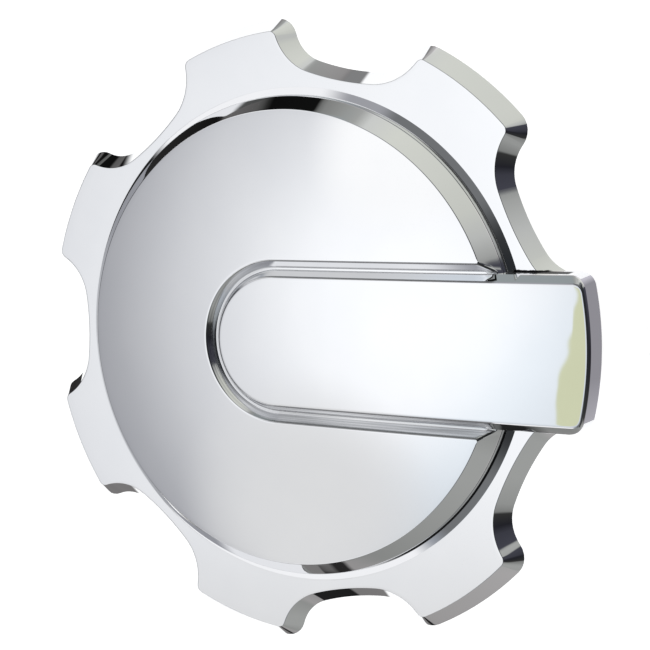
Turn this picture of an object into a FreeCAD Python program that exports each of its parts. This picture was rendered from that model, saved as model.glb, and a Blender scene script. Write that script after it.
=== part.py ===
"""Chrome-plated wheel centre cap: a scalloped flange, a crowned drum and an arm with a groove round it.

One moulded piece. The seat on the wheel is the plane z = 0, the wheel's axis is Z, the face looks
along +Z and the arm points along +X. Sizes are in millimetres.
"""
import FreeCAD, Part
import math
import os

V = FreeCAD.Vector

# Flange: a dished ring with a scallop beside every wheel nut and a flared skirt all round
lobe_count = 7
tooth_radius = 100.0
flange_height = 6.0
flange_dish = 1.15
skirt_flare = 4.8
scallop_floor_radius = 84.4
scallop_floor_curve = 88.0
scallop_side_radius = 18.5
scallop_side_offset = 9.2
tooth_corner_radius = 2.2

# Drum: a stepped foot, a sloping wall and a crowned face
foot_radius = 80.8
bead_radius = 79.45
bead_height = 1.15
bead_ledge = 0.15
neck_height = 3.0
neck_draft = 0.25
wall_slope_run = 4.45
wall_slope_rise = 4.6
shoulder_width = 0.35
crown_rise = 3.0

# Arm: a straight tongue with a round inner end on the wheel's axis
arm_face_half_width = 21.05
arm_base_half_width = 24.1
arm_draft_deg = 4.0
arm_end_radius = 102.9
arm_corner_radius = 5.0
arm_end_draft_deg = 2.0

# Groove: follows the arm at an even depth below the crown
groove_depth = 2.8
groove_floor_width = 0.8
groove_arm_slope_run = 2.15
groove_outer_slope_run = 2.3

# Moulded shell seen from behind
skin = 2.6
drum_wall = 3.4
rim_wall = 2.8
tooth_pocket_inner_radius = 89.0
arm_wall = 3.4

# Snap collar that enters the wheel's centre bore
collar_radius = 54.5
collar_wall = 2.5
collar_reach = 20.0
snap_land_height = 1.5
snap_land_length = 3.0
snap_ramp = 3.0
finger_count = 8
finger_slot_width = 8.0
finger_slot_top = 3.0
rib_thickness = 2.2
rib_height = 6.0

# Margins for tools that must pass clear through a wall
through = 2.0
join = 0.6

pitch = 2.0 * math.pi / lobe_count
arm_draft = math.tan(math.radians(arm_draft_deg))
arm_end_draft = math.tan(math.radians(arm_end_draft_deg))
dish_slope = flange_dish / (tooth_radius - foot_radius)
foot_z = flange_height - flange_dish
bead_z = foot_z + bead_height
neck_radius = bead_radius - bead_ledge
neck_z = bead_z + neck_height
shoulder_radius = neck_radius - neck_draft - shoulder_width
face_radius = shoulder_radius - wall_slope_run
face_z = neck_z + wall_slope_rise
crown_radius = (face_radius ** 2 + crown_rise ** 2) / (2.0 * crown_rise)
crown_z = face_z + crown_rise
crown_centre = V(0, 0, crown_z - crown_radius)
plan_radius = max(tooth_radius + skirt_flare, arm_end_radius) + through


def crown_at(radius, drop=0.0):
    """Height of the crowned surface, or of one that lies evenly below it, at a distance from the axis."""
    return crown_centre.z + math.sqrt((crown_radius - drop) ** 2 - radius ** 2)


def polar(radius, angle, z):
    return V(radius * math.cos(angle), radius * math.sin(angle), z)


def arc_about(centre, start, end):
    """The shorter arc from start to end round a centre at the same height."""
    middle = (start - centre).normalize() + (end - centre).normalize()
    middle = centre + middle.normalize() * (start - centre).Length
    return Part.Arc(start, middle, end).toShape()


def revolved(edges, angle=360.0):
    """A solid of revolution about the wheel's axis from a closed loop of edges in the XZ plane."""
    return Part.Face(Part.Wire(edges)).revolve(V(0, 0, 0), V(0, 0, 1), angle)


def polygon_edges(points):
    closed = points + [points[0]]
    return [Part.makeLine(a, b) for a, b in zip(closed[:-1], closed[1:])]


def ring_of(points):
    """A solid of revolution from (radius, height) corners."""
    return revolved(polygon_edges([V(r, 0, z) for r, z in points]))


def crown_ball(drop=0.0):
    """The ball whose top is the crowned surface, or one that lies evenly below it.

    Its poles lie out to the sides and its seam underneath, away from the cap.
    """
    ball = Part.makeSphere(crown_radius - drop, crown_centre, V(0, 1, 0))
    seam = max(ball.Edges, key=lambda e: e.Length)
    way = seam.valueAt((seam.FirstParameter + seam.LastParameter) / 2.0) - crown_centre
    ball.rotate(crown_centre, V(0, 1, 0), 180.0 - math.degrees(math.atan2(way.x, way.z)))
    return ball


def flange_outline(grow, z):
    """Plan of the teeth and scallops, grown evenly outwards, as one closed wire."""
    reach = scallop_floor_curve - scallop_side_radius
    lean = math.asin(scallop_side_offset / reach)
    floor_r = scallop_floor_radius + scallop_floor_curve
    side_r = floor_r - reach * math.cos(lean)
    a = tooth_radius - tooth_corner_radius
    b = scallop_side_radius + tooth_corner_radius
    d = math.hypot(side_r, scallop_side_offset)
    turn = math.acos((a * a + d * d - b * b) / (2.0 * a * d))
    corner_angle = math.atan2(scallop_side_offset, side_r) + turn
    edges = []
    for k in range(lobe_count):
        axis = (k + 0.5) * pitch

        def local(r, t):
            across = V(-math.sin(axis) * t, math.cos(axis) * t, 0)
            return polar(r, axis, z) + across

        floor_c = local(floor_r, 0.0)
        points = {}
        for s in (-1, 1):
            side_c = local(side_r, s * scallop_side_offset)
            corner_c = polar(a, axis + s * corner_angle, z)
            tooth_p = polar(tooth_radius + grow, axis + s * corner_angle, z)
            side_p = side_c + (corner_c - side_c).normalize() * (scallop_side_radius - grow)
            floor_p = floor_c + (side_c - floor_c).normalize() * (scallop_floor_curve - grow)
            points[s] = (side_c, corner_c, tooth_p, side_p, floor_p)
        side_c, corner_c, tooth_p, side_p, floor_p = points[-1]
        edges.append(arc_about(corner_c, tooth_p, side_p))
        edges.append(arc_about(side_c, side_p, floor_p))
        edges.append(arc_about(floor_c, floor_p, points[1][4]))
        side_c, corner_c, tooth_p, side_p, floor_p = points[1]
        edges.append(arc_about(side_c, floor_p, side_p))
        edges.append(arc_about(corner_c, side_p, tooth_p))
        next_p = polar(tooth_radius + grow, axis + pitch - corner_angle, z)
        edges.append(arc_about(V(0, 0, z), tooth_p, next_p))
    return Part.Wire(edges)


def flange():
    """The plate of teeth and scallops: a flared skirt with a dished front.

    The lobe under the arm stops inside the arm's end, so that the arm's own wall reaches the seat.
    """
    skirt = Part.makeLoft([flange_outline(skirt_flare, 0.0), flange_outline(0.0, flange_height)], True, True)
    over = tooth_radius + through
    top = flange_height + through
    dish = ring_of([(0.0, flange_height - dish_slope * tooth_radius),
                    (over, flange_height + dish_slope * through), (over, top), (0.0, top)])
    end_x = arm_end_radius - arm_wall - arm_corner_radius
    half = arm_base_half_width - join
    lobe_end = Part.makeBox(plan_radius - end_x, 2.0 * half, top + 2.0 * through, V(end_x, -half, -through))
    return skirt.cut([dish, lobe_end])


def drum():
    """The drum up to a level above its crown, with the wall's slope carried on."""
    over = crown_z + through
    top_r = face_radius - (over - face_z) * wall_slope_run / wall_slope_rise
    return ring_of([(0.0, 0.0), (foot_radius, 0.0), (foot_radius, foot_z), (bead_radius, bead_z),
                    (neck_radius, bead_z), (neck_radius - neck_draft, neck_z), (shoulder_radius, neck_z),
                    (top_r, over), (0.0, over)])


def arm_section(half, end_r, corner_r, start_x, z):
    """Plan of the arm at one level: straight sides, round corners and an end that follows the rim."""
    corner_y = half - corner_r
    corner_x = math.sqrt((end_r - corner_r) ** 2 - corner_y ** 2)
    edges = []
    low_c, high_c = V(corner_x, -corner_y, z), V(corner_x, corner_y, z)
    axis = V(0, 0, z)
    low_side, high_side = V(corner_x, -half, z), V(corner_x, half, z)
    low_end = axis + (low_c - axis).normalize() * end_r
    high_end = axis + (high_c - axis).normalize() * end_r
    low_start, high_start = V(start_x, -half, z), V(start_x, half, z)
    edges.append(Part.makeLine(low_start, low_side))
    edges.append(arc_about(low_c, low_side, low_end))
    edges.append(arc_about(axis, low_end, high_end))
    edges.append(arc_about(high_c, high_end, high_side))
    edges.append(Part.makeLine(high_side, high_start))
    edges.append(Part.makeLine(high_start, low_start))
    return Part.Wire(edges)


def arm():
    """The arm's block from the seat to above the crown, with draft on its sides and end."""
    start_x = face_radius - drum_wall
    over = crown_at(start_x) + join
    low = arm_section(arm_base_half_width, arm_end_radius, arm_corner_radius, start_x, 0.0)
    high = arm_section(arm_base_half_width - arm_draft * over, arm_end_radius - arm_end_draft * over,
                       arm_corner_radius, start_x, over)
    return Part.makeLoft([low, high], True, True)


def along_arm(corners):
    """Carries a section (distance from the arm's middle line, height) round the arm's end and along its sides.

    The straight runs turn about an axis through the crown's centre, so the section keeps its place
    on the crowned surface all the way.
    """
    face = Part.Face(Part.Wire(polygon_edges([V(0, y, z) for y, z in corners])))
    sweep = math.degrees(math.asin(plan_radius / crown_radius))
    side = face.revolve(crown_centre, V(0, 1, 0), sweep)
    end = face.revolve(V(0, 0, 0), V(0, 0, 1), 180.0)
    return [end, side, side.mirror(V(0, 0, 0), V(0, 1, 0))]


def groove_corners():
    """Section of the groove at the crown: arm edge, floor and outer edge."""
    y0 = arm_face_half_width
    y1 = y0 + groove_arm_slope_run
    y2 = y1 + groove_floor_width
    y3 = y2 + groove_outer_slope_run
    return y0, y1, y2, y3


def groove():
    """The groove's cutter: both slopes are carried on above the crown."""
    y0, y1, y2, y3 = groove_corners()
    rise = (groove_depth + through) / groove_depth
    floor_in, floor_out = crown_at(y1) - groove_depth, crown_at(y2) - groove_depth
    top_in = (y1 + (y0 - y1) * rise, floor_in + (crown_at(y0) - floor_in) * rise)
    top_out = (y2 + (y3 - y2) * rise, floor_out + (crown_at(y3) - floor_out) * rise)
    return along_arm([top_in, (y1, floor_in), (y2, floor_out), top_out])


def groove_backing():
    """The ridge behind the groove that keeps the skin's thickness."""
    y0, y1, y2, y3 = groove_corners()
    low = crown_at(y2) - groove_depth - skin
    high = crown_at(y3) - skin + join
    return along_arm([(y0 - skin / 2.0, high), (y1 - skin / 4.0, low), (y2 + skin / 4.0, low),
                      (y3 + skin / 2.0, high)])


def cavity():
    """The space behind the drum and the arm, under an even skin and inside even walls."""
    over = crown_z
    foot_r = foot_radius - drum_wall - neck_draft
    slope_r = shoulder_radius - drum_wall + skin / 2.0
    slope_z = neck_z - skin / 2.0
    top_r = slope_r - (over - slope_z) * wall_slope_run / wall_slope_rise
    behind_drum = ring_of([(0.0, -through), (foot_r, -through), (slope_r, slope_z), (top_r, over), (0.0, over)])
    half = arm_base_half_width - arm_wall
    end_r = arm_end_radius - arm_wall
    corner_r = max(arm_corner_radius - arm_wall, join)
    start_x = face_radius - drum_wall - wall_slope_run
    low = arm_section(half + arm_draft * through, end_r + arm_end_draft * through, corner_r, start_x, -through)
    high = arm_section(half - arm_draft * over, end_r - arm_end_draft * over, corner_r, start_x, over)
    behind_arm = Part.makeLoft([low, high], True, True)
    return behind_drum.fuse(behind_arm).common(crown_ball(skin)).cut(groove_backing())


def tooth_pockets():
    """Shallow cores behind the teeth, apart from the one that the arm covers."""
    depth = flange_height - skin
    fall = skirt_flare / flange_height
    low_grow = skirt_flare - rim_wall + fall * through
    high_grow = skirt_flare - rim_wall - fall * depth
    core = Part.makeLoft([flange_outline(low_grow, -through), flange_outline(high_grow, depth)], True, True)
    inner = tooth_pocket_inner_radius
    core = core.cut(ring_of([(0.0, -through - join), (inner, -through - join), (inner, depth + join),
                             (0.0, depth + join)]))
    middle = [s for s in core.Solids if s.CenterOfMass.x < tooth_radius * math.cos(pitch / 2.0)]
    return Part.makeCompound(middle)


def collar():
    """The split collar with a snap land at its tips."""
    inner = collar_radius - collar_wall
    tip = -collar_reach
    land = collar_radius + snap_land_height
    top = crown_at(inner, skin) + join
    ring = ring_of([(inner, tip), (collar_radius - collar_wall / 2.0, tip),
                    (land, tip + snap_ramp), (land, tip + snap_ramp + snap_land_length),
                    (collar_radius, tip + snap_ramp + snap_land_length + snap_land_height),
                    (collar_radius, top), (inner, top)])
    length = 2.0 * collar_wall + 2.0 * snap_land_height + through
    height = collar_reach + finger_slot_top + through
    slot = Part.makeBox(length, finger_slot_width, height,
                        V(inner - collar_wall, -finger_slot_width / 2.0, tip - through))
    slots = []
    for k in range(finger_count):
        one = slot.copy()
        one.rotate(V(0, 0, 0), V(0, 0, 1), 360.0 * (k + 0.5) / finger_count)
        slots.append(one)
    return ring.cut(slots)


def ribs(space):
    """Radial ribs from the collar to the drum's wall, seated in the cavity's own surfaces."""
    start = collar_radius - collar_wall / 2.0
    low = crown_at(foot_radius, skin) - rib_height
    rib = Part.makeBox(foot_radius - start, rib_thickness, crown_z - low, V(start, -rib_thickness / 2.0, low))
    made = []
    for k in range(finger_count):
        one = rib.copy()
        one.rotate(V(0, 0, 0), V(0, 0, 1), 360.0 * k / finger_count)
        made.append(one.common(space))
    return made


front = flange().fuse([drum(), arm()]).common(crown_ball())
space = cavity()
shell = front.cut([space, tooth_pockets()])
cap = shell.fuse([collar()] + ribs(space)).cut(groove()).removeSplitter()
cap = max(cap.Solids, key=lambda s: s.Volume)

box = cap.BoundBox
print("center_cap", cap.ShapeType, cap.isValid(), "volume mm3", round(cap.Volume), "faces", len(cap.Faces))
print("box", [round(v, 2) for v in (box.XMin, box.XMax, box.YMin, box.YMax, box.ZMin, box.ZMax)])

os.makedirs("parts", exist_ok=True)
cap.exportStep("parts/center_cap.step")
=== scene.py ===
# %% [markdown]
# # A chrome wheel center cap
# The cap is one plastic moulding, plated bright all over: a flange with teeth and scallops, a raised drum
# with a gently domed face, and an arm that lies in a groove and runs out to the rim. Chrome hides nothing.
# It mirrors the room, so a wobble in the mesh shows as a wobble in the mirror. That is why every surface here
# is grown ring by ring from one loop of edges, which keeps the faces even and in line.

# %% Load the frame
import math

import bmesh
import bpy
from mathutils import Matrix, Vector


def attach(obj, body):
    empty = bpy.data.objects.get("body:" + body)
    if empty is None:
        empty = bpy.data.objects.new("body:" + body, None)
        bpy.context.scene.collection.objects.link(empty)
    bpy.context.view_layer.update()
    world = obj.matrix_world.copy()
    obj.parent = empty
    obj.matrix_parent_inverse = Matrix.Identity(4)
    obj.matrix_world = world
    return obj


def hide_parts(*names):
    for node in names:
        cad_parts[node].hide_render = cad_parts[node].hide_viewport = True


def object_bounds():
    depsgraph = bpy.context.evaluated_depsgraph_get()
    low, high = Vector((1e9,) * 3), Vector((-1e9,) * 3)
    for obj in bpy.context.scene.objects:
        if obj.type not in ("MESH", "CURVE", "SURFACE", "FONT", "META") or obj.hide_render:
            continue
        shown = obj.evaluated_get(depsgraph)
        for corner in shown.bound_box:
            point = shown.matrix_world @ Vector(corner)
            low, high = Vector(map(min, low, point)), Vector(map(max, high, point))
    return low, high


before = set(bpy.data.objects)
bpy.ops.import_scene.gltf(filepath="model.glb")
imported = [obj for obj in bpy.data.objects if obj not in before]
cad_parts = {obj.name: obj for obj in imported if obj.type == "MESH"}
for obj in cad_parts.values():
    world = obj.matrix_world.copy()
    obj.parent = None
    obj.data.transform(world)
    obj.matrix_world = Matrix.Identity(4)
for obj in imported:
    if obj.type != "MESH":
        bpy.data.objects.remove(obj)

cad_box = [[float(c) for c in corner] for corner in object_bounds()]
print("CAD box", [[round(c, 4) for c in corner] for corner in cad_box])

# %% [markdown]
# ## The domed face and the sloping wall
# The drum's face is a shallow piece of a very large ball, three millimetres high over its whole width. Heights
# on it come from the ball itself, so everything that lies on the face or runs below it asks one helper. A second
# helper finds where the drum's sloping wall is a given depth below the dome. Sizes are in millimetres until a
# piece is finished.

# %% Heights on the dome
FACE_R, FACE_Z, CROWN_RISE = 74.25, 13.6, 3.0
WALL_RUN, WALL_RISE = 4.45, 4.6
CROWN_R = (FACE_R ** 2 + CROWN_RISE ** 2) / (2 * CROWN_RISE)


def dome(x, y, depth=0.0):
    """Height of the domed face over a point in plan, or of a surface that lies that far below it."""
    return FACE_Z + CROWN_RISE - CROWN_R + math.sqrt(CROWN_R ** 2 - x * x - y * y) - depth


def wall_radius(depth):
    """Radius at which the drum's sloping wall lies that far below the dome."""
    near, far = FACE_R, FACE_R + WALL_RUN
    for _ in range(40):
        middle = (near + far) / 2
        wall_z = FACE_Z - (middle - FACE_R) * WALL_RISE / WALL_RUN
        if dome(middle, 0, depth) < wall_z:
            near = middle
        else:
            far = middle
    return near


print("dome radius", round(CROWN_R, 1), "wall at the rim", round(wall_radius(0), 2))

# %% [markdown]
# ## Growing a loop of edges
# A turner would call the drum a profile and spin it. The groove and the teeth break that symmetry, so here each
# ring is an extrusion of the ring before it, and every vertex remembers its station, its number round the cap.
# A rule then says where each station goes on the new ring. Extruding only edges leaves a strip of clean quads.

# %% Helper: extrude a ring and place it
LOBES, PER_LOBE = 7, 66
STATIONS = LOBES * PER_LOBE
MOUTH = 23  # stations from the arm's middle line to the side of the groove's mouth


def station_of(i):
    """Stations are counted both ways from the arm's middle line."""
    return i if i <= STATIONS // 2 else i - STATIONS


def grow(bm, edges, place, finish=0):
    """Extrudes edges, moves every new vertex where place says, and gives back the new edges and faces."""
    made = bmesh.ops.extrude_edge_only(bm, edges=edges)["geom"]
    fresh = [g for g in made if isinstance(g, bmesh.types.BMVert)]
    for v in fresh:
        v.co = place(v)
    new = set(fresh)
    faces = [g for g in made if isinstance(g, bmesh.types.BMFace)]
    for f in faces:
        f.material_index = finish
    ring = [g for g in made if isinstance(g, bmesh.types.BMEdge) and set(g.verts) <= new]
    return ring, faces


shell = bmesh.new()
station = shell.verts.layers.int.new("station")
print("stations round the cap", STATIONS)

# %% [markdown]
# ## The groove's plan
# The groove follows the arm: half a circle round the arm's inner end, then two straight runs that break out
# through the drum's wall. Its section has an outer slope, a narrow floor and an inner slope, which belongs to
# the arm. Stations near the arm are spread along the groove's mouth, and the others evenly round the drum.

# %% Groove section and the ring at its mouth
ARM_EDGE, FLOOR_IN, FLOOR_OUT, GROOVE_EDGE = 21.05, 23.2, 24.0, 26.3
GROOVE_DEPTH = 2.8
MARGIN = 0.8  # a narrow strip of even faces beside the groove
SLOPE_STEPS = 4
MOUTH_R = wall_radius(GROOVE_DEPTH)


def drum_point(j, radius, edge_y, z):
    """A station on a drum ring whose groove edge is edge_y from the arm's middle line."""
    inner = MOUTH - 1
    if abs(j) <= inner:
        angle = math.asin(edge_y * abs(j) / inner / radius)
    else:
        start = math.asin((edge_y + MARGIN) / radius)
        share = (abs(j) - MOUTH) / (STATIONS / 2 - MOUTH)
        angle = start + (math.pi - start) * share
    angle = math.copysign(angle, j)
    return Vector((radius * math.cos(angle), radius * math.sin(angle), z))


bmesh.ops.create_circle(shell, segments=STATIONS, radius=MOUTH_R, cap_ends=False)
shell.verts.ensure_lookup_table()
for i, v in enumerate(shell.verts):
    v[station] = station_of(i)
    v.co = drum_point(v[station], MOUTH_R, FLOOR_OUT, dome(MOUTH_R, 0, GROOVE_DEPTH))
mouth_ring = list(shell.edges)
print("mouth ring radius", round(MOUTH_R, 2))

# %% [markdown]
# ## The wall above the mouth, and the dome
# From the groove's mouth up to the rim the wall is only there outside the groove, so these rings are open, like
# the letter C. The dome goes on inwards the same way: arcs about the wheel's axis, cut off beside the groove,
# down to the half circle at the arm's inner end.

# %% Upper wall and dome
ring = [e for e in mouth_ring if all(abs(v[station]) >= MOUTH - 1 for v in e.verts)]
for step in reversed(range(SLOPE_STEPS)):
    depth = GROOVE_DEPTH * step / SLOPE_STEPS
    edge_y = GROOVE_EDGE - (GROOVE_EDGE - FLOOR_OUT) * step / SLOPE_STEPS
    r = wall_radius(depth) if step else FACE_R
    ring, _ = grow(shell, ring, lambda v: drum_point(v[station], r, edge_y, dome(r, 0, depth)))

DOME_RINGS = 24
inner_edge = GROOVE_EDGE + MARGIN
ring = [e for e in ring if all(abs(v[station]) >= MOUTH for v in e.verts)]
for step in range(1, DOME_RINGS + 1):
    r = FACE_R + (inner_edge - FACE_R) * step / DOME_RINGS
    ring, _ = grow(shell, ring, lambda v: drum_point(v[station], r, GROOVE_EDGE, dome(r, 0)))
print("dome faces", len(shell.faces))

# %% [markdown]
# ## The groove's outer slope and floor
# The open side of the dome is one long chain of edges: along one run, round the end, back along the other. Moving
# it towards the arm and down makes the slope, and moving it on to the middle line makes the floor. The floor's
# inner part is under the arm and never seen, but it closes the shell.

# %% Slope and floor
def toward_arm(v, to_y, depth, end_x, from_end_x):
    """Moves a point of the chain in towards the arm: radially at the round end, sideways on the runs."""
    if v.co.x <= 1e-4:
        flat = Vector((v.co.x, v.co.y)).normalized() * to_y
    else:
        flat = Vector((v.co.x * end_x / from_end_x, math.copysign(to_y, v.co.y)))
    return Vector((flat.x, flat.y, dome(flat.x, flat.y, depth)))


def run_end(radius, y):
    return math.sqrt(radius ** 2 - y ** 2)


def beside_groove(e):
    return e.is_boundary and all(abs(v.co.y) < inner_edge + 0.01 and v.co.z > dome(v.co.x, v.co.y, 0.01)
                                 for v in e.verts)


chain = [e for e in shell.edges if beside_groove(e)]
chain = [e for e in chain if all(abs(v[station]) >= MOUTH for v in e.verts)]
chain = [e for e in chain if any(v.co.length_squared < (FACE_R - 0.5) ** 2 for v in e.verts)]
steps = [(FACE_R, inner_edge, 0.0), (FACE_R, GROOVE_EDGE, 0.0)]
for step in range(1, SLOPE_STEPS + 1):
    depth = GROOVE_DEPTH * step / SLOPE_STEPS
    steps.append((wall_radius(depth), GROOVE_EDGE - (GROOVE_EDGE - FLOOR_OUT) * step / SLOPE_STEPS, depth))
for step in reversed(range(MOUTH - 1)):
    steps.append((MOUTH_R, FLOOR_OUT * step / (MOUTH - 1), GROOVE_DEPTH))
for (r0, y0, _), (r1, y1, depth) in zip(steps, steps[1:]):
    chain, _ = grow(shell, chain, lambda v: toward_arm(v, y1, depth, run_end(r1, y1), run_end(r0, y0)))
print("groove rings", len(steps) - 1)

# %% [markdown]
# ## The stepped foot
# Below the mouth the wall goes all the way round. It turns over a round shoulder into a steep neck, and then come
# a ledge no wider than a hair, a gently sloping bead and the flange. The steps are small, but in chrome each of
# them draws a line round the drum, so they are all there.

# %% Foot of the drum
FOOT = [(78.98, 8.71), (79.3, 6.0), (79.45, 6.0), (81.8, 4.91)]
ring = mouth_ring
for r, z in FOOT:
    ring, _ = grow(shell, ring, lambda v: drum_point(v[station], r, FLOOR_OUT, z))
print("foot ends at radius", FOOT[-1][0], "height", FOOT[-1][1])

# %% [markdown]
# ## Teeth and scallops
# Each scallop clears a wheel nut. Its plan is a flat arc with two tighter arcs at its sides and a small round at
# each tooth corner. Half of one lobe is enough to describe, because the rest are turns and reflections of it. The
# flange is slightly dished, and a skirt flares from its edge back to the seat on the wheel.

# %% Plan of the flange
PITCH = 2 * math.pi / LOBES
TOOTH_R, FLANGE_Z, DISH_SLOPE, FLARE = 100.0, 6.0, 1.15 / 19.2, 4.8
SCALLOP_R, SCALLOP_CURVE, SIDE_CURVE, SIDE_OFF, CORNER = 84.4, 88.0, 18.5, 9.2, 2.2
reach = SCALLOP_CURVE - SIDE_CURVE
floor_c = Vector((SCALLOP_R + SCALLOP_CURVE, 0.0))
side_c = Vector((floor_c.x - math.sqrt(reach ** 2 - SIDE_OFF ** 2), SIDE_OFF))
corner_at = TOOTH_R - CORNER
corner_gap = SIDE_CURVE + CORNER
corner_angle = math.atan2(side_c.y, side_c.x) + math.acos(
    (corner_at ** 2 + side_c.length_squared - corner_gap ** 2) / (2 * corner_at * side_c.length))
corner_c = Vector((math.cos(corner_angle), math.sin(corner_angle))) * corner_at


def heading(vector):
    return math.atan2(vector.y, vector.x)


def on_arc(centre, radius, start, end, share):
    angle = start + (end - start) * share
    return centre + Vector((math.cos(angle), math.sin(angle))) * radius


def half_lobe(n, spread):
    """Point n of 33 from the middle of a tooth to the middle of a scallop, with the scallop's axis along x."""
    if n <= 6:
        return on_arc(Vector((0, 0)), TOOTH_R + spread, PITCH / 2, corner_angle, n / 6)
    if n <= 12:
        return on_arc(corner_c, CORNER + spread, corner_angle, heading(side_c - corner_c), (n - 6) / 6)
    if n <= 26:
        start, end = heading(corner_c - side_c), heading(side_c - floor_c)
        return on_arc(side_c, SIDE_CURVE - spread, start, end, (n - 12) / 14)
    return on_arc(floor_c, SCALLOP_CURVE - spread, heading(side_c - floor_c), math.pi, (n - 26) / 7)


def flange_plan(j, spread):
    """Plan of the teeth and scallops at a station, grown outwards by spread."""
    lobe, n = divmod(j % STATIONS, PER_LOBE)
    flat = half_lobe(min(n, PER_LOBE - n), spread)
    if n < PER_LOBE / 2:
        flat.y = -flat.y
    axis = (lobe + 0.5) * PITCH
    return Matrix.Rotation(axis, 2) @ flat


print("tooth corner at", round(math.degrees(PITCH / 2 - corner_angle), 2), "degrees from a tooth's middle")

# %% Flange face and skirt
def front_edge(j):
    """Where the skirt meets the dished front: a point between the skirt's front and back outlines."""
    share = 0.0
    for _ in range(6):
        flat = flange_plan(j, FLARE * share)
        share = DISH_SLOPE * (TOOTH_R - flat.length) / FLANGE_Z
    return Vector((flat.x, flat.y, FLANGE_Z * (1 - share)))


FLANGE_RINGS = (0.12, 0.35, 0.6, 0.82, 1.0)
foot_r, foot_z = FOOT[-1]


def on_flange(v, share):
    """A point of the dished front, part of the way from the drum's foot to the skirt."""
    inner = drum_point(v[station], foot_r, FLOOR_OUT, foot_z)
    point = inner.lerp(front_edge(v[station]), share)
    point.z = FLANGE_Z - DISH_SLOPE * (TOOTH_R - math.hypot(point.x, point.y))
    return point


for share in FLANGE_RINGS:
    ring, _ = grow(shell, ring, lambda v: on_flange(v, share))
ring, _ = grow(shell, ring, lambda v: flange_plan(v[station], FLARE).to_3d())
print("front faces", len(shell.faces))

# %% [markdown]
# ## The back of the shell
# Nobody sees the back on a car, but a part in a library is turned over. The rim is one even wall, each tooth is
# cored out behind, and the drum is hollow under an even skin. These faces get a second finish, because the back
# of a plated moulding stays dull.

# %% Rim, tooth cores and the hollow drum
BACK = 1  # material slot of the dull finish
RIM_SPREAD, CORE_R, CORE_DEPTH = 2.0, 89.0, 3.4
NARROWEST_RIM, WIDE_TOOTH = 1.2, 3.0
HOLLOW = [(77.15, 0.0), (76.6, 7.7), (74.38, 10.0)]
SKIN, CEILING_RINGS = 3.6, (62.0, 48.0, 34.0, 20.0, 8.0)


def core_inner(j):
    """Inner edge of a tooth's core, or of the rim where there is no room for a core."""
    flat = flange_plan(j, RIM_SPREAD)
    return (flat.normalized() * min(flat.length - NARROWEST_RIM, CORE_R)).to_3d()


def on_ceiling(v, r):
    """Moves a vertex straight in towards the wheel's axis, at an even depth below the dome."""
    return Vector((v.co.x, v.co.y, 0)).normalized() * r + Vector((0, 0, dome(r, 0, SKIN)))


ring, _ = grow(shell, ring, lambda v: flange_plan(v[station], RIM_SPREAD).to_3d(), BACK)
ring, plates = grow(shell, ring, lambda v: core_inner(v[station]), BACK)
for r, z in HOLLOW:
    ring, _ = grow(shell, ring, lambda v: drum_point(v[station], r, FLOOR_OUT, z), BACK)
for r in CEILING_RINGS:
    ring, _ = grow(shell, ring, lambda v: on_ceiling(v, r), BACK)
bmesh.ops.contextual_create(shell, geom=ring)


def has_core(f):
    """The wide parts of the six teeth are cored. The lobe under the arm is not."""
    wide = all(flange_plan(v[station], RIM_SPREAD).length > CORE_R + WIDE_TOOTH for v in f.verts)
    return wide and all(abs(v[station]) > PER_LOBE // 2 for v in f.verts)


cores = [f for f in plates if has_core(f)]
raised = bmesh.ops.extrude_face_region(shell, geom=cores)["geom"]
bmesh.ops.translate(shell, vec=(0, 0, CORE_DEPTH), verts=[g for g in raised if isinstance(g, bmesh.types.BMVert)])
bmesh.ops.delete(shell, geom=[f for f in cores if f.is_valid], context="FACES")
bmesh.ops.remove_doubles(shell, verts=shell.verts, dist=0.004)
bmesh.ops.recalc_face_normals(shell, faces=shell.faces)
print("shell faces", len(shell.faces), "open edges", sum(not e.is_manifold for e in shell.edges))

# %% [markdown]
# ## Rounding the edges
# A mould never gives a knife edge, and plating rounds what is left. Most rounds here are a few tenths of
# a millimetre. They are what draws the fine lines along each edge of the cap, because a round edge mirrors the
# whole room in a strip as thin as a hair.

# %% Round the shell's edges
def round_edges(bm, edges, size, segments=3):
    """Bevels edges to a round of that size."""
    bmesh.ops.bevel(bm, geom=edges, offset=size, offset_type="OFFSET", affect="EDGES", segments=segments,
                    profile=0.5, material=-1, clamp_overlap=False)


def creases(bm, degrees, where):
    """Edges that are bent by more than an angle, in one part of a piece."""
    found = [e for e in bm.edges if e.is_manifold and e.calc_face_angle() > math.radians(degrees)]
    return [e for e in found if all(where(v.co) for v in e.verts)]


def at_shoulder(p):
    return abs(math.hypot(p.x, p.y) - FOOT[0][0]) < 0.1 and abs(p.z - FOOT[0][1]) < 0.1


def in_foot(p):
    return 78.0 < math.hypot(p.x, p.y) < 82.5 and 4.0 < p.z < 9.5


def at_mouth(p):
    """The corner where the groove's outer slope runs out through the drum's wall."""
    beside = p.x > 0 and FLOOR_OUT - 0.1 < abs(p.y) < GROOVE_EDGE + 0.1
    return beside and p.z > 10.5 and math.hypot(p.x, p.y) > FACE_R - 0.1


def at_front(p):
    """Every other edge of the front, but none on the skin behind it."""
    behind_skin = math.hypot(p.x, p.y) < 77.0 and p.z < dome(p.x, p.y, 3.0)
    return p.z > 4.5 and not in_foot(p) and not behind_skin


ROUNDS = [(at_shoulder, 20, 0.45, 4), (in_foot, 12, 0.06, 2), (at_mouth, 20, 0.75, 3), (at_front, 24, 0.18, 3)]
for where, degrees, size, segments in ROUNDS:
    round_edges(shell, creases(shell, degrees, where), size, segments)
print("rounded shell faces", len(shell.faces), "open edges", sum(not e.is_manifold for e in shell.edges))

# %% [markdown]
# ## From edit mesh to object
# The finished edit mesh is scaled from millimetres to metres and becomes an object at the origin. Weighted
# normals let the large faces rule the shading, so the flat of each surface stays flat right up to its rounds.

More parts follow.
